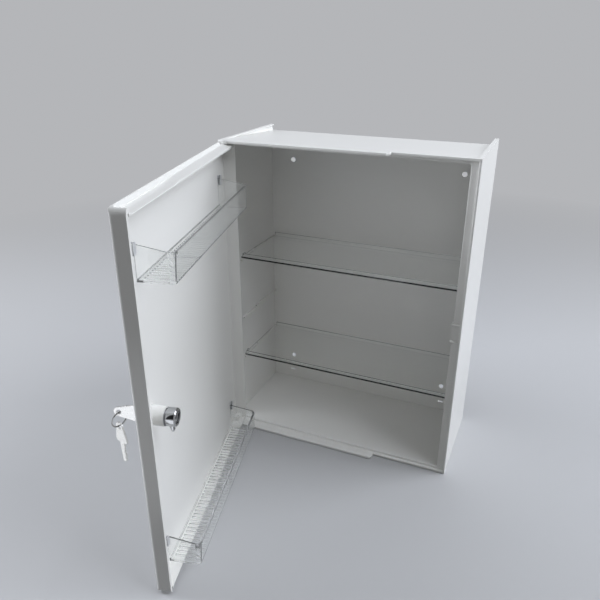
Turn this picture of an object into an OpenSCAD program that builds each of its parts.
// Wall cabinet for first aid supplies: a moulded box, a tray-shaped door on two hinge pins,
// two clear shelves, two clear door racks on clips, and a key lock with a turning drum.
// Millimetres. The back face lies in Y = 0, the front looks along -Y, +Z is up, and the
// origin is the centre of the four wall holes.

/* [Cabinet] */
// Outer width of the cabinet and of its closed door
cab_w = 320; // [304:2:360]
// Outer height of the cabinet and of its closed door
cab_h = 422; // [412:2:460]
// Depth of the side walls, from the room's wall to their front edge
cab_d = 142; // [136:1:170]
// Thickness of the side walls
side_t = 3; // [2.5:0.1:4]
// Thickness of the back
back_t = 3; // [2.5:0.1:4]
// Thickness of the top and bottom skins
skin_t = 3.5; // [3:0.1:4]
// Fall of the top's outer face from front to back
top_fall = 8; // [6:0.5:9]
// Rise of the bottom's outer face from front to back
bottom_rise = 4.5; // [3:0.5:6]
// Width of the lip along the top and bottom edge of each side wall
wing_lip_w = 5; // [4:0.5:7]
// Thickness of that lip
wing_lip_t = 1.5; // [1:0.1:2]

/* [Cabinet front] */
// Reach of the hinge part of the skins past the side walls
nose = 10.5; // [10:0.5:11]
// Width of that hinge part, from the hinge side
nose_w = 220; // [180:5:240]
// Set-back of the inner flange behind the front edge
flange_set = 3.5; // [3:0.1:4]
// Width of the inner flange on the latch side
flange_w = 8.5; // [7.5:0.1:9]
// Thickness of the inner flange
flange_t = 3; // [2.5:0.1:3.5]
// Rise from the front ledge to the floor behind it
floor_step = 3.5; // [3:0.1:4]
// Width of the pocket that the door's hinge rim swings in
pocket_w = 31; // [28:0.5:34]
// Depth of that pocket behind the front edge of the side walls
pocket_d = 7; // [6.8:0.1:8]
// Height between the two catch ribs on the flange, centre to centre
catch_gap = 23.5; // [22:0.5:26]
// Thickness of the pad behind the flange that the lock's tooth pulls on
catch_pad = 0.7; // [0.5:0.1:0.8]

/* [Wall holes] */
// Distance of a wall hole from the nearer outer side
hole_in_x = 37; // [30:1:50]
// Distance of a wall hole from the highest or the lowest face
hole_in_z = 48; // [42:1:60]
// Diameter of a wall hole
hole_d = 7; // [5:0.5:8]
// Length of each small slot low in the back
drain_l = 8; // [6:0.5:10]
// Height of that slot
drain_h = 3; // [2:0.5:4]
// Distance of a slot from the nearer outer side
drain_in = 35.5; // [32:0.5:60]
// Height of the slots above the cabinet's lowest face
drain_z = 22; // [18:1:26]

/* [Shelves] */
// Height of the lower shelf's underside above the cabinet's lowest face
low_shelf_z = 98.5; // [90:0.5:110]
// Height of the spare ledges
mid_ledge_z = 164; // [150:1:180]
// Height of the upper shelf's underside above the cabinet's lowest face
high_shelf_z = 253.5; // [230:0.5:270]
// Set-back of a shelf behind the front edge of the side walls
shelf_set = 30; // [29:0.5:40]
// Thickness of a shelf
shelf_t = 2; // [1.5:0.1:2.5]
// Height of a shelf's front and rear lips, over the shelf's own thickness
shelf_lip = 5; // [3:0.5:8]
// Gap between a shelf and each side wall
shelf_gap = 0.6; // [0.4:0.1:1]
// Width of a ledge
ledge_w = 3.2; // [2.5:0.1:4]
// Thickness of a ledge
ledge_t = 2.5; // [2:0.1:3]
// Length of a ledge's lower front part
ledge_front = 36; // [30:1:44]
// Gap between a ledge's front and rear parts
ledge_break = 3; // [2:0.5:5]
// Drop of the front part below the rear part
ledge_drop = 3; // [2:0.5:4]

/* [Door] */
// Distance of the closed door's outer face in front of the side walls
door_front = 17; // [16.5:0.5:17.5]
// Thickness of the door's panel
panel_t = 3; // [2.5:0.1:3.2]
// Thickness of the door's rims
rim_t = 3; // [2.5:0.1:3.5]
// Radius along the outer face's edges
edge_r = 4.5; // [3:0.1:4.7]
// Radius of the door's corners, seen from the front
corner_r = 8; // [6:0.5:10]
// Gap between the door and the cabinet where the rims lap and butt
lap_gap = 0.5; // [0.4:0.1:0.7]
// Fall of the lapped rim from the step to its inner edge
lap_fall = 2.3; // [1.5:0.1:2.5]
// Depth of the finger scoop in the lapped rim
scoop = 1.5; // [1:0.1:1.6]
// Start of the finger scoop, from the hinge side
scoop_from = 213; // [180:1:220]
// Width of the hinge corners that stay low under the skins
low_corner = 22; // [20:0.5:24]
// Angle by which the door stands open
rest_open = 76; // [0:1:130]

/* [Hinge] */
// Distance of the pin from the hinge side's outer face
pin_in = 10.3; // [10:0.1:10.5]
// Distance of the pin behind the door's outer face
pin_back = 8.4; // [8.2:0.1:8.6]
// Diameter of a hinge pin
pin_d = 3; // [2.5:0.1:3.2]
// Length of a hinge pin
pin_l = 13.5; // [11:0.5:20]
// Radius of the round ear about a pin
ear_r = 4.5; // [4:0.1:4.8]
// Radial running clearance round a pin in the door
pin_run = 0.06; // [0.04:0.01:0.1]
// Radial clearance round a pin in its ear
pin_seat = 0.03; // [0.02:0.01:0.05]

/* [Door racks] */
// Outer length of a rack
rack_len = 255; // [230:1:260]
// Height of a rack's front
rack_h = 29.5; // [26:0.5:34]
// Height of a rack's ends at the rear
rack_rear_h = 35.5; // [34:0.5:37]
// Height of the lip along the rear of a rack's floor
rack_lip = 3; // [2.5:0.1:6]
// Depth of a rack at its floor
rack_floor_d = 36; // [30:0.5:36.5]
// Depth of a rack at its top
rack_top_d = 37; // [34.5:0.5:38]
// Wall thickness of a rack
rack_t = 1.8; // [1.4:0.1:2.2]
// Radius of a rack's front corners
rack_r = 6; // [3:0.5:7]
// Gap between a rack's rear and the door's panel
rack_gap = 0.4; // [0.3:0.1:0.6]
// Number of slots in a rack's floor
rack_slots = 43; // [20:1:46]
// Distance of the outer slots' middles from a rack's ends
slot_end = 9.1; // [8:0.1:20]
// Width of a slot
slot_w = 2.4; // [1.6:0.1:2.8]
// Depth of the upper rack's underside below the cabinet's highest face
high_rack_drop = 77.5; // [70:0.5:120]
// Height of the lower rack's underside above the cabinet's lowest face
low_rack_z = 12.5; // [12:0.5:20]

/* [Rack clips] */
// Width of a clip
clip_w = 6; // [5.5:0.5:8]
// Height of a clip
clip_h = 12; // [11:0.5:15]
// Height of a clip's underside above its rack's underside
clip_z = 26.5; // [24:0.5:28]
// Thickness of a clip's floor and outer wall
clip_t = 2; // [1.6:0.1:2.2]
// Thickness of a clip's front wall
clip_front = 1; // [0.8:0.1:1.4]
// Thickness of a rack's ear
ear_t = 1.2; // [1:0.1:1.5]
// Distance of an ear in front of its rack's rear
ear_set = 0.7; // [0.7:0.1:1]
// Clearance round a rack's ear in its clip
ear_gap = 0.3; // [0.25:0.05:0.35]

/* [Lock] */
// Distance of the lock's axis from the door's free edge
lock_in = 26.5; // [26:0.5:28]
// Distance of the lock's axis below the middle of the door
lock_drop = 1.2; // [0:0.2:4]
// Outer diameter of the door's lock boss
boss_d = 19.6; // [18.6:0.2:22]
// Length of the boss behind the door's panel
boss_l = 17.5; // [16:0.5:18]
// Diameter of the lock's barrel
barrel_d = 16; // [15.4:0.1:16.8]
// Clearance round the barrel in its boss
barrel_gap = 0.15; // [0.1:0.05:0.3]
// Height of the lock's collar on the door's outer face
collar_h = 6; // [4:0.5:7]
// Diameter of the plug
plug_d = 12; // [11.8:0.1:12.4]
// Radial running clearance round the plug
plug_run = 0.08; // [0.05:0.01:0.1]
// Diameter of the drum
drum_d = 18.4; // [16:0.2:19]
// Length of the drum
drum_l = 9.5; // [9:0.5:10.5]
// Reach of the drum's tooth from the lock's axis
tooth_reach = 15.8; // [15:0.1:16.4]
// Width of the tooth
tooth_w = 5; // [4:0.5:7]
// Angle of the drum, 0 with the tooth down and 90 with it behind the flange
lock_turn = 0; // [0:5:90]
// Number of wafers in the plug
wafers = 5; // [3:1:5]
// Pitch of the wafers
wafer_pitch = 3.2; // [3:0.1:3.3]

/* [Keys] */
// Thickness of a key
key_t = 2; // [1.8:0.1:2.1]
// Length of a key's blade
blade_l = 19; // [17:0.5:19.5]
// Height of a key's blade
blade_h = 6.4; // [5.6:0.1:6.6]
// Length of the neck between blade and bow
neck_l = 4; // [3:0.5:5]
// Length of a key's bow
bow_l = 23; // [20:0.5:26]
// Width of the bow at its shoulders
bow_w = 18; // [16:0.5:20]
// Diameter of the hole in a bow
bow_hole_d = 4.8; // [4.6:0.1:5.4]
// Middle diameter of the key ring
ring_d = 17.2; // [17:0.2:22]
// Diameter of the ring's wire
ring_wire = 1.3; // [1:0.1:1.4]
// Angle by which the hanging ring leans away from the door
ring_lean = 9; // [0:1:12]
// Angle by which the key on the ring leans back towards the door
spare_lean = 4; // [0:1:8]

/* [Hidden] */
fine = 48;
small = 32;
ring_fine = 64;
wire_fine = 24;
cut = 1;
hair = 0.1;
slip = 0.2;
clear = [0.9, 0.93, 0.95, 0.4];

x_hinge = -cab_w / 2;
x_latch = cab_w / 2;
z_low = -cab_h / 2;
z_high = cab_h / 2;
y_edge = -cab_d;
y_face = y_edge - door_front;
floor_h = skin_t + floor_step;
hinge_wall_set = 5.2;
nose_bevel = 3;

// Catch ribs on the flange
rib_t = 3;
rib_side = 1.5;
rib_rise = 2.5;

// Hinge and lock axes of the closed door
pin_x = x_hinge + pin_in;
pin_y = y_face + pin_back;
lock_x = x_latch - lock_in;
lock_z = -lock_drop;
pin_boss_r = 4;
pin_stop = 1;

// Rims of the door, as heights above and below the middle and as places along Y
lap_h = cab_h / 2 - skin_t - lap_gap;
step_y = y_edge - nose - lap_gap;
rim_reach = 0.5;
rim_end_y = y_edge + rim_reach;
free_rim_end_y = y_edge - lap_gap;
hinge_rim_reach = 1.75;
hinge_rim_end_y = y_edge + hinge_rim_reach;
free_rim_more = 0.5;
free_rim_w = rim_t + free_rim_more;
behind_y = y_edge + 10;
scoop_ramp = 17;
scoop_stop = 4;
scoop_margin = 1;

// Shelves and their ledges
ledge_in = 2;
ledge_y = y_edge + shelf_set + ledge_in;
ledge_end = -back_t;
seat_gap = 0.2;
shelf_r = 3;
shelf_lip_t = 1.8;
nub = [2, 3, 2.5];
nub_set = 9;

// Racks and clips
high_rack_z = cab_h - high_rack_drop;
rack_y = y_face + panel_t + rack_gap;
slot_pitch = (rack_len - 2 * slot_end) / (rack_slots - 1);
rack_rim = 3;
rim_out = 0.6;
slot_margin = 2;
ear_l = clip_w - clip_t;
ear_lift = clip_z + clip_t + seat_gap;
ear_drop = 1;
ear_top = rack_rear_h - ear_drop;
ear_y = rack_y + ear_set;
clip_hollow = [ear_y - ear_gap, ear_y + ear_t + ear_gap];
clip_r = 2;
peg_d = 4;
peg_l = 1.8;
peg_gap = 0.1;

// Lock, as depths behind the door's outer face and as distances from the lock's axis
collar_flange = 2;
collar_d = 24;
collar_top_d = 19;
collar_bevel = 1;
plug_head_d = 15;
plug_head_t = 1.5;
clip_at = panel_t + boss_l;
clip_seat = 0.05;
clip_plate = 0.8;
clip_groove = 0.9;
groove_deep = 0.9;
groove_d = barrel_d - 2 * groove_deep;
clip_mouth = 12.6;
clip_reach = 1.3;
barrel_past = 1.6;
barrel_end = clip_at + barrel_past;
drum_gap = 0.3;
drum_start = barrel_end + drum_gap;
drum_end = drum_start + drum_l;
drum_bevel = 1;
tooth_sunk = 3;
tooth_root = drum_d / 2 - tooth_sunk;
tooth_foot = drum_start + 0.6;
tooth_front = drum_start + 3.2;
tooth_back = drum_start + 4.8;
recess_d = 12.5;
recess_l = 3.5;
recess_a = drum_end - recess_l;
socket_l = 3;
tail_w = 6;
tail_end = drum_start + socket_l - slip;
screw_l = 8;
screw_d = 3.5;
screw_head_d = 8;
screw_head_t = 2.2;
cross_w = 1.2;
cross_l = 5.2;
cross_deep = 1.2;

// Plug, wafers and springs
key_play = 0.3;
key_slot_w = key_t + key_play;
key_slot_h = blade_h + 2 * key_play;
wafer_w = 5.2;
wafer_t = 1;
wafer_low = 5.2;
wafer_high = 4.4;
wafer_start = 3.4;
wafer_side = 0.15;
wafer_lift = 0.4;
way_lead = 0.9;
way_deep = 1;
tab_x = 4.7;
tab_h = 1.2;
spring_in = 0.9;
spring_x = tab_x - spring_in;
spring_d = 1.3;
spring_bore = 0.7;
spring_l = 2.6;
spring_room = 0.3;

// Keys and ring
tip_low = 1.6;
tip_high = 2.6;
tip_back = 2.4;
shoulder = [2, 2.5];
bow_end_r = 5.2;
hole_in = 5.4;
bit_w = 1;
bit_rise = 3;
bit_depths = [1.1, 1.7, 0.8, 1.5, 1.2];
hole_at = blade_l + neck_l + bow_l - hole_in;
ring_play = 1.1;
spare_play = 1.3;
ring_turn = 60;
ring_x = lock_x;
ring_y = y_face - collar_h - (hole_at - blade_l);
ring_z = lock_z - ring_play - ring_d / 2;

// Solid of an outline drawn as (Y, Z), between two places along X
module along_x(x0, x1) {
    translate([x0, 0, 0]) rotate([90, 0, 90]) linear_extrude(height = x1 - x0) children();
}

// Solid of an outline drawn as (X, Z), between two places along Y
module along_y(y0, y1) {
    translate([0, y1, 0]) rotate([90, 0, 0]) linear_extrude(height = y1 - y0) children();
}

// Solid of an outline drawn as (X, Y), between two heights
module along_z(z0, z1) {
    translate([0, 0, z0]) linear_extrude(height = z1 - z0) children();
}

// Box between two corners
module block(low, high) {
    translate(low) cube(high - low);
}

// Cylinder along Y between two places
module rod_y(x, z, y0, y1, d) {
    translate([x, y1, z]) rotate([90, 0, 0]) cylinder(h = y1 - y0, d = d, $fn = fine);
}

// Cylinder along Z between two heights
module rod_z(x, y, z0, z1, d) {
    translate([x, y, z0]) cylinder(h = z1 - z0, d = d, $fn = fine);
}

// Rectangle with four rounded corners
module round_rect(x0, y0, x1, y1, r) {
    translate([x0 + r, y0]) square([x1 - x0 - 2 * r, y1 - y0]);
    translate([x0, y0 + r]) square([x1 - x0, y1 - y0 - 2 * r]);
    for (x = [x0 + r, x1 - r], y = [y0 + r, y1 - r]) translate([x, y]) circle(r = r, $fn = small);
}

// The same piece for the top and, mirrored, for the bottom
module both_ends() {
    children();
    mirror([0, 0, 1]) children();
}

// Turns what is drawn on the closed door to the place where the door stands open
module on_door() {
    translate([pin_x, pin_y, 0]) rotate([0, 0, -rest_open]) translate([-pin_x, -pin_y, 0]) children();
}

// Turns what belongs to the plug about the lock's axis
module on_plug() {
    on_door() translate([lock_x, 0, lock_z]) rotate([0, -lock_turn, 0]) translate([-lock_x, 0, -lock_z])
        children();
}

// Section of the bottom skin and floor, as heights above the lowest face
module skin_section(rise) {
    polygon([[y_edge, 0], [y_edge, skin_t], [y_edge + flange_set, skin_t],
        [y_edge + flange_set, floor_h], [0, rise + skin_t], [0, rise]]);
}

// Bottom of the box with its front ledge, hinge part and hinge ear
module box_end(rise) {
    translate([0, 0, z_low]) {
        difference() {
            along_x(x_hinge, x_latch) skin_section(rise);
            block([x_hinge + side_t, y_edge - cut, skin_t],
                [x_hinge + pocket_w, y_edge + pocket_d, floor_h + cut]);
        }
        difference() {
            union() {
                along_z(0, skin_t) polygon([[pin_x - ear_r, y_edge - nose],
                    [x_hinge + nose_w - nose_bevel, y_edge - nose],
                    [x_hinge + nose_w, y_edge - nose + nose_bevel],
                    [x_hinge + nose_w, y_edge + cut], [x_hinge, y_edge + cut], [x_hinge, pin_y]]);
                rod_z(pin_x, pin_y, 0, skin_t, 2 * ear_r);
            }
            rod_z(pin_x, pin_y, -cut, skin_t + cut, pin_d + 2 * pin_seat);
        }
        for (side = [-1, 1]) {
            lip_x = side * (cab_w - wing_lip_w) / 2;
            block([lip_x - wing_lip_w / 2, y_edge, 0], [lip_x + wing_lip_w / 2, 0, wing_lip_t]);
        }
    }
}

// One ledge pair for a shelf whose underside is at height z
module ledges(z) {
    for (side = [-1, 1]) {
        x_wall = side * (cab_w / 2 - side_t);
        x0 = min(x_wall, x_wall - side * ledge_w);
        x1 = max(x_wall, x_wall - side * ledge_w);
        block([x0, ledge_y, z - ledge_drop - ledge_t],
            [x1, ledge_y + ledge_front, z - ledge_drop]);
        block([x0, ledge_y + ledge_front + ledge_break, z - ledge_t], [x1, ledge_end, z]);
    }
}

// Flange on the latch side with its two catch ribs and the pad behind it
module latch_flange() {
    x1 = x_latch - side_t;
    x0 = x1 - flange_w;
    y0 = y_edge + flange_set;
    block([x0, y0, z_low + skin_t], [x1, y0 + flange_t, z_high - skin_t]);
    for (side = [-1, 1]) {
        z = lock_z + side * catch_gap / 2;
        block([x0 - rib_side, y0 - rib_rise, z - rib_t / 2], [x1, y0 + flange_t, z + rib_t / 2]);
    }
    block([x0 - rib_side, y0, lock_z - catch_gap / 2], [x1, y0 + flange_t + catch_pad,
        lock_z + catch_gap / 2]);
}

// Cutter for a slot through the back
module drain_slot(x, z) {
    half = (drain_l - drain_h) / 2;
    block([x - half, -back_t - cut, z - drain_h / 2], [x + half, cut, z + drain_h / 2]);
    for (end = [-half, half]) rod_y(x + end, z, -back_t - cut, cut, drain_h);
}

module cabinet_shell() {
    color("white") difference() {
        union() {
            block([x_hinge, y_edge + hinge_wall_set, z_low], [x_hinge + side_t, 0, z_high]);
            block([x_latch - side_t, y_edge, z_low], [x_latch, 0, z_high]);
            block([x_hinge, -back_t, z_low + bottom_rise], [x_latch, 0, z_high - top_fall]);
            box_end(bottom_rise);
            mirror([0, 0, 1]) box_end(top_fall);
            latch_flange();
            for (z = [low_shelf_z - seat_gap, mid_ledge_z, high_shelf_z - seat_gap]) {
                ledges(z_low + z);
            }
        }
        for (x = [x_hinge + hole_in_x, x_latch - hole_in_x],
            z = [z_low + hole_in_z, z_high - hole_in_z]) {
            rod_y(x, z, -back_t - cut, cut, hole_d);
        }
        for (x = [x_hinge + drain_in, x_latch - drain_in]) drain_slot(x, z_low + drain_z);
    }
}

// Upper half of the door's side section, with a lapped or a full rim
module door_section(lapped, end_y) {
    top = cab_h / 2;
    intersection() {
        translate([y_face + edge_r, top - edge_r]) circle(r = edge_r, $fn = small);
        translate([y_face, top - edge_r]) square(edge_r);
    }
    polygon(lapped ? [[y_face, -cut], [y_face, top - edge_r], [y_face + edge_r, top],
        [step_y, lap_h], [end_y, lap_h - lap_fall], [end_y, -cut]]
        : [[y_face, -cut], [y_face, top - edge_r], [y_face + edge_r, top], [end_y, top],
        [end_y, -cut]]);
}

// Outer form of the door before it is hollowed
module door_form() {
    intersection() {
        union() {
            both_ends() along_x(x_hinge, x_latch - free_rim_w) door_section(true, rim_end_y);
            both_ends() along_x(x_latch - free_rim_w, x_latch) door_section(false, free_rim_end_y);
            block([x_hinge, step_y, -lap_h + lap_fall + cut],
                [x_hinge + rim_t, hinge_rim_end_y, lap_h - lap_fall - cut]);
        }
        along_y(y_face - cut, behind_y) round_rect(x_hinge, z_low, x_latch, z_high, corner_r);
        along_z(z_low - cut, z_high + cut) union() {
            translate([x_hinge, y_face + edge_r]) square([cab_w, 2 * door_front]);
            translate([x_hinge + edge_r, y_face]) square([cab_w - 2 * edge_r, door_front]);
            for (x = [x_hinge + edge_r, x_latch - edge_r]) {
                translate([x, y_face + edge_r]) circle(r = edge_r, $fn = small);
            }
        }
    }
}

// Hollow of the door between its rims
module door_hollow() {
    inner = lap_h - rim_t;
    both_ends() along_x(x_hinge + rim_t, x_latch - rim_t) polygon([[y_face + panel_t, -cut],
        [y_face + panel_t, inner], [rim_end_y + 2 * cut, inner - lap_fall],
        [rim_end_y + 2 * cut, -cut]]);
}

// Cutter for the finger scoop in the upper lapped rim
module scoop_cut() {
    slope = atan2(lap_fall, rim_end_y - step_y);
    x_from = x_hinge + scoop_from;
    x_to = x_latch - free_rim_w - scoop_margin - scoop_stop;
    translate([0, step_y, lap_h]) rotate([-slope, 0, 0]) along_y(-slip, 2 * nose)
        polygon([[x_from - scoop_ramp, 0], [x_from, -scoop], [x_to, -scoop], [x_to + scoop_stop, 0],
            [x_to + scoop_stop, 2 * scoop], [x_from - scoop_ramp, 2 * scoop]]);
}

// Boss in the upper hinge corner that takes a hinge pin
module pin_boss() {
    top = lap_h - lap_fall;
    low = z_high - pin_l - pin_stop;
    rod_z(pin_x, pin_y, low, top, 2 * pin_boss_r);
    block([x_hinge + cut, pin_y - pin_boss_r, low], [pin_x, pin_y + pin_boss_r, top]);
    block([pin_x - pin_boss_r, y_face + cut, low], [pin_x + pin_boss_r, pin_y, top]);
}

module door_shell() {
    color("whitesmoke") on_door() difference() {
        union() {
            difference() {
                door_form();
                door_hollow();
            }
            both_ends() pin_boss();
            rod_y(lock_x, lock_z, y_face + panel_t - cut, y_face + panel_t + boss_l, boss_d);
        }
        both_ends() {
            block([x_hinge - cut, y_face - cut, lap_h], [x_hinge + low_corner, behind_y,
                z_high + cut]);
            scoop_cut();
            rod_z(pin_x, pin_y, z_high - pin_l - pin_stop - cut, z_high, pin_d + 2 * pin_run);
        }
        rod_y(lock_x, lock_z, y_face - cut, y_face + 2 * door_front, barrel_d + 2 * barrel_gap);
        for (x = [-clip_x(), clip_x()], z = [low_rack_z, high_rack_z]) {
            rod_y(x, z_low + z + clip_z + clip_h / 2, y_face + panel_t - peg_l - peg_gap,
                y_face + panel_t + cut, peg_d + 2 * peg_gap);
        }
    }
}

// Pin of the upper hinge, flush with the skin
module hinge_pin() {
    rod_z(pin_x, pin_y, z_high - pin_l, z_high - slip, pin_d);
}

module upper_hinge_pin() {
    color("silver") hinge_pin();
}

module lower_hinge_pin() {
    color("silver") mirror([0, 0, 1]) hinge_pin();
}

// Clear shelf with lips and two side nubs, its underside at height z
module shelf(z) {
    x1 = cab_w / 2 - side_t - shelf_gap;
    y0 = y_edge + shelf_set;
    y1 = -back_t - shelf_gap;
    top = shelf_t + shelf_lip;
    translate([0, 0, z_low + z]) {
        along_z(0, shelf_t) round_rect(-x1, y0, x1, y1, shelf_r);
        block([-x1 + shelf_r, y0, 0], [x1 - shelf_r, y0 + shelf_lip_t, top]);
        block([-x1 + shelf_r, y1 - shelf_lip_t, 0], [x1 - shelf_r, y1, top]);
        for (x = [-x1, x1 - nub[0]]) {
            block([x, y0 + nub_set, 0], [x + nub[0], y0 + nub_set + nub[1], shelf_t + nub[2]]);
        }
    }
}

module upper_shelf() {
    color(clear) shelf(high_shelf_z);
}

module lower_shelf() {
    color(clear) shelf(low_shelf_z);
}

// Outer form of a rack, or its hollow: s is the wall that is left outside it
module rack_form(s) {
    x1 = rack_len / 2 - s;
    y1 = rack_y + rack_top_d - s;
    r = rack_r - s;
    intersection() {
        along_x(-x1, x1) polygon([[rack_y + s, s], [rack_y + rack_floor_d - s, s],
            [y1, rack_h + s], [y1 - r, rack_h + s], [rack_y + s, rack_rear_h + s]]);
        along_z(-cut, rack_rear_h + 2 * s) union() {
            translate([-x1, rack_y]) square([2 * x1, rack_top_d - s - r]);
            translate([-x1 + r, rack_y]) square([2 * (x1 - r), rack_top_d - s]);
            for (x = [-x1 + r, x1 - r]) translate([x, y1 - r]) circle(r = r, $fn = small);
        }
    }
}

// Clear rack, open at the rear, with a slotted floor and two ears, its underside at height z
module rack(z) {
    x1 = rack_len / 2;
    slot_y = [rack_y + rack_t + slot_margin, rack_y + rack_floor_d - rack_t - slot_margin];
    translate([0, 0, z_low + z]) difference() {
        union() {
            rack_form(0);
            block([-x1 + rack_r, rack_y + rack_top_d - cut, rack_h - rack_rim],
                [x1 - rack_r, rack_y + rack_top_d + rim_out, rack_h]);
            for (x = [-x1 - ear_l, x1 - cut]) {
                block([x, ear_y, ear_lift], [x + ear_l + cut, ear_y + ear_t, ear_top]);
            }
        }
        rack_form(rack_t);
        block([-x1 + rack_t, rack_y - cut, rack_lip], [x1 - rack_t, rack_y + rack_t + hair,
            rack_rear_h + cut]);
        for (i = [0 : rack_slots - 1]) {
            x = (i - (rack_slots - 1) / 2) * slot_pitch;
            block([x - slot_w / 2, slot_y[0], -cut], [x + slot_w / 2, slot_y[1], rack_t + cut]);
        }
    }
}

module upper_rack() {
    color(clear) on_door() rack(high_rack_z);
}

module lower_rack() {
    color(clear) on_door() rack(low_rack_z);
}

// Middle of a clip along X, outside the rack's end
function clip_x() = rack_len / 2 + ear_gap + clip_w / 2;

// Clip on the latch side for the rack whose underside is at height z
module rack_clip(z) {
    x0 = rack_len / 2 + ear_gap;
    x1 = x0 + clip_w;
    y0 = y_face + panel_t;
    z0 = z_low + z + clip_z;
    difference() {
        union() {
            along_y(y0, clip_hollow[1] + clip_front) round_rect(x0, z0, x1, z0 + clip_h, clip_r);
            rod_y(clip_x(), z0 + clip_h / 2, y0 - peg_l, y0 + cut, peg_d);
        }
        block([x0 - cut, clip_hollow[0], z0 + clip_t], [rack_len / 2 + ear_l + ear_gap,
            clip_hollow[1], z0 + clip_h + cut]);
    }
}

module upper_hinge_side_clip() {
    color("gray") on_door() mirror([1, 0, 0]) rack_clip(high_rack_z);
}

module upper_latch_side_clip() {
    color("gray") on_door() rack_clip(high_rack_z);
}

module lower_hinge_side_clip() {
    color("gray") on_door() mirror([1, 0, 0]) rack_clip(low_rack_z);
}

module lower_latch_side_clip() {
    color("gray") on_door() rack_clip(low_rack_z);
}

// Cylinder on the lock's axis, between two depths behind the door's outer face
module lock_rod(a0, a1, d) {
    rod_y(lock_x, lock_z, y_face + a0, y_face + a1, d);
}

// Box about the lock's axis: low and high give x, depth behind the face, and z
module lock_block(low, high) {
    block([lock_x + low[0], y_face + low[1], lock_z + low[2]],
        [lock_x + high[0], y_face + high[1], lock_z + high[2]]);
}

module lock_housing() {
    color("silver") on_door() difference() {
        union() {
            lock_rod(-collar_flange, 0, collar_d);
            translate([lock_x, y_face - collar_flange, lock_z]) rotate([90, 0, 0])
                cylinder(h = collar_h - collar_flange, d1 = collar_d - collar_bevel,
                    d2 = collar_top_d, $fn = fine);
            lock_rod(-cut, barrel_end, barrel_d);
        }
        lock_rod(-collar_h - cut, barrel_end + cut, plug_d + 2 * plug_run);
        lock_rod(-collar_h - cut, -collar_h + plug_head_t + hair, plug_head_d + slip);
        lock_block([-wafer_w / 2 - slip, wafer_a(0) - way_lead, -plug_d / 2 - way_deep],
            [wafer_w / 2 + slip, wafer_a(wafers), plug_d / 2 + way_deep]);
        difference() {
            lock_rod(clip_at, clip_at + clip_groove, barrel_d + cut);
            lock_rod(clip_at - cut, clip_at + clip_groove + cut, groove_d);
        }
    }
}

module lock_clip() {
    a0 = clip_at + clip_seat;
    color("dimgray") on_door() difference() {
        lock_rod(a0, a0 + clip_plate, barrel_d + 2 * clip_reach);
        lock_rod(a0 - cut, a0 + clip_plate + cut, groove_d + slip);
        lock_block([-clip_mouth / 2, a0 - cut, 0], [clip_mouth / 2, a0 + clip_plate + cut,
            barrel_d]);
    }
}

// Depth of wafer i behind the door's outer face
function wafer_a(i) = -collar_h + wafer_start + i * wafer_pitch;

module lock_plug() {
    color("silver") on_plug() difference() {
        union() {
            lock_rod(-collar_h, -collar_h + plug_head_t, plug_head_d);
            lock_rod(-collar_h + plug_head_t - hair, barrel_end + slip, plug_d);
            lock_block([-tail_w / 2, barrel_end, -tail_w / 2], [tail_w / 2, tail_end, tail_w / 2]);
        }
        lock_block([-key_slot_w / 2, -collar_h - cut, -key_slot_h / 2],
            [key_slot_w / 2, -collar_h + blade_l + slip, key_slot_h / 2]);
        for (i = [0 : wafers - 1]) {
            a = wafer_a(i) - hair;
            b = wafer_a(i) + wafer_t + hair;
            lock_block([-wafer_w / 2 - wafer_side, a, -plug_d],
                [wafer_w / 2 + wafer_side, b, wafer_high + wafer_lift]);
            lock_block([0, a, -wafer_lift], [tab_x + slip, b, tab_h + wafer_lift]);
            rod_z(lock_x + spring_x, y_face + (a + b) / 2, lock_z - spring_l - 2 * spring_room,
                lock_z, spring_d + spring_room);
        }
        lock_rod(recess_a - screw_l - slip, tail_end + cut, screw_d + hair);
    }
}

module lock_wafers() {
    color("goldenrod") on_plug() for (i = [0 : wafers - 1]) {
        a = wafer_a(i);
        b = a + wafer_t;
        difference() {
            union() {
                lock_block([-wafer_w / 2, a, -wafer_low], [wafer_w / 2, b, wafer_high]);
                lock_block([0, a, 0], [tab_x, b, tab_h]);
            }
            lock_block([-key_slot_w / 2, a - cut, -key_slot_h / 2 - hair],
                [key_slot_w / 2, b + cut, key_slot_h / 2 + hair]);
        }
    }
}

module wafer_springs() {
    color("lightgray") on_plug() for (i = [0 : wafers - 1]) {
        y = y_face + wafer_a(i) + wafer_t / 2;
        difference() {
            rod_z(lock_x + spring_x, y, lock_z - spring_l - hair, lock_z - hair, spring_d);
            rod_z(lock_x + spring_x, y, lock_z - spring_l - cut, lock_z + cut, spring_bore);
        }
    }
}

// Drum on the plug's tail with the wedge-shaped tooth that reaches behind the flange
module lock_cam() {
    color("silver") on_plug() difference() {
        union() {
            lock_rod(drum_start, drum_end - drum_bevel, drum_d);
            translate([lock_x, y_face + drum_end, lock_z]) rotate([90, 0, 0])
                cylinder(h = drum_bevel, d1 = drum_d - 2 * drum_bevel, d2 = drum_d, $fn = fine);
            translate([0, y_face, lock_z]) along_x(lock_x - tooth_w / 2, lock_x + tooth_w / 2)
                polygon([[tooth_foot, -tooth_root], [tooth_foot, -drum_d / 2],
                    [tooth_front, -tooth_reach], [tooth_back, -tooth_reach],
                    [tooth_back, -tooth_root]]);
        }
        lock_rod(recess_a, drum_end + cut, recess_d);
        lock_block([-tail_w / 2 - hair, drum_start - cut, -tail_w / 2 - hair],
            [tail_w / 2 + hair, drum_start + socket_l, tail_w / 2 + hair]);
        lock_rod(drum_start, drum_end, screw_d + 2 * slip);
    }
}

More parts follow.
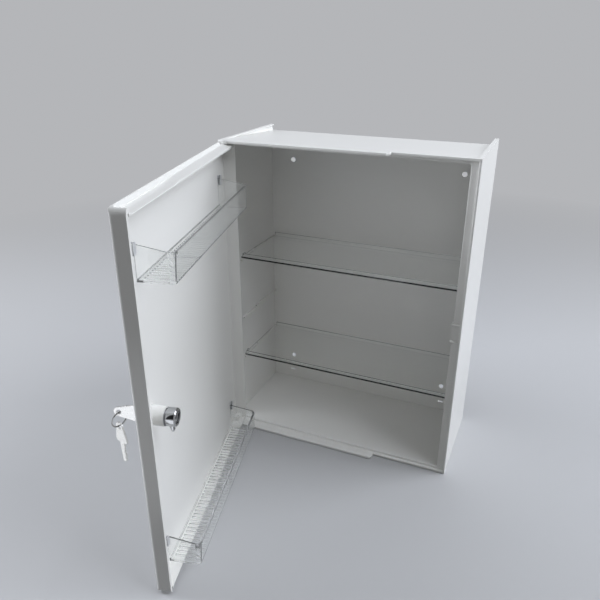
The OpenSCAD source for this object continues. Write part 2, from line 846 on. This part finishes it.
module cam_screw() {
    slot_a = recess_a + screw_head_t - cross_deep;
    color("gainsboro") on_plug() difference() {
        union() {
            lock_rod(recess_a, recess_a + screw_head_t, screw_head_d);
            lock_rod(recess_a - screw_l, recess_a + hair, screw_d);
        }
        for (size = [[cross_w, cross_l], [cross_l, cross_w]]) {
            lock_block([-size[0] / 2, slot_a, -size[1] / 2], [size[0] / 2, drum_end, size[1] / 2]);
        }
    }
}

// Outline of a key: the tip at the origin, the bow along +X, the bitting on the +Y side
module key_outline() {
    bow_at = blade_l + neck_l;
    end_x = bow_at + bow_l - bow_end_r;
    top = blade_h / 2;
    wide = bow_w / 2;
    difference() {
        union() {
            polygon([[0, -top + tip_low], [tip_low, -top], [bow_at + cut, -top],
                [bow_at + cut, top], [tip_back, top], [0, -top + tip_high]]);
            polygon([[bow_at, -wide + shoulder[1]], [bow_at + shoulder[0], -wide],
                [end_x, -bow_end_r], [end_x, bow_end_r], [bow_at + shoulder[0], wide],
                [bow_at, wide - shoulder[1]]]);
            translate([end_x, 0]) circle(r = bow_end_r, $fn = small);
        }
        for (i = [0 : wafers - 1]) {
            translate([blade_l - wafer_start - wafer_t / 2 - i * wafer_pitch, top - bit_depths[i]])
                polygon([[-bit_w / 2, 0], [bit_w / 2, 0], [bit_w / 2 + bit_rise, bit_rise],
                    [-bit_w / 2 - bit_rise, bit_rise]]);
        }
        translate([hole_at, 0]) circle(d = bow_hole_d, $fn = small);
    }
}

module inserted_key() {
    color("gainsboro") on_plug()
        translate([lock_x - key_t / 2, y_face - collar_h + blade_l, lock_z]) rotate([-90, 0, 0])
            rotate([0, 90, 0]) linear_extrude(height = key_t) key_outline();
}

// Places what hangs in the ring's own leaning plane, with X along the plane
module in_ring_plane() {
    on_plug() translate([ring_x, ring_y, lock_z]) rotate([0, 0, ring_turn - 90])
        rotate([-ring_lean, 0, 0]) translate([0, 0, -lock_z]) children();
}

module key_ring() {
    color("silver") in_ring_plane() translate([0, 0, ring_z]) rotate([90, 0, 0])
        rotate_extrude($fn = ring_fine) translate([ring_d / 2, 0]) circle(d = ring_wire, $fn = wire_fine);
}

module spare_key() {
    color("gainsboro") in_ring_plane() translate([key_t / 2, 0, ring_z - ring_d / 2])
        rotate([ring_lean + spare_lean, 0, 0]) translate([0, 0, -spare_play - hole_at])
            rotate([0, -90, 0]) linear_extrude(height = key_t) key_outline();
}

cabinet_shell();
door_shell();
upper_hinge_pin();
lower_hinge_pin();
upper_shelf();
lower_shelf();
upper_rack();
lower_rack();
upper_hinge_side_clip();
upper_latch_side_clip();
lower_hinge_side_clip();
lower_latch_side_clip();
lock_housing();
lock_clip();
lock_plug();
lock_wafers();
wafer_springs();
lock_cam();
cam_screw();
inserted_key();
key_ring();
spare_key();
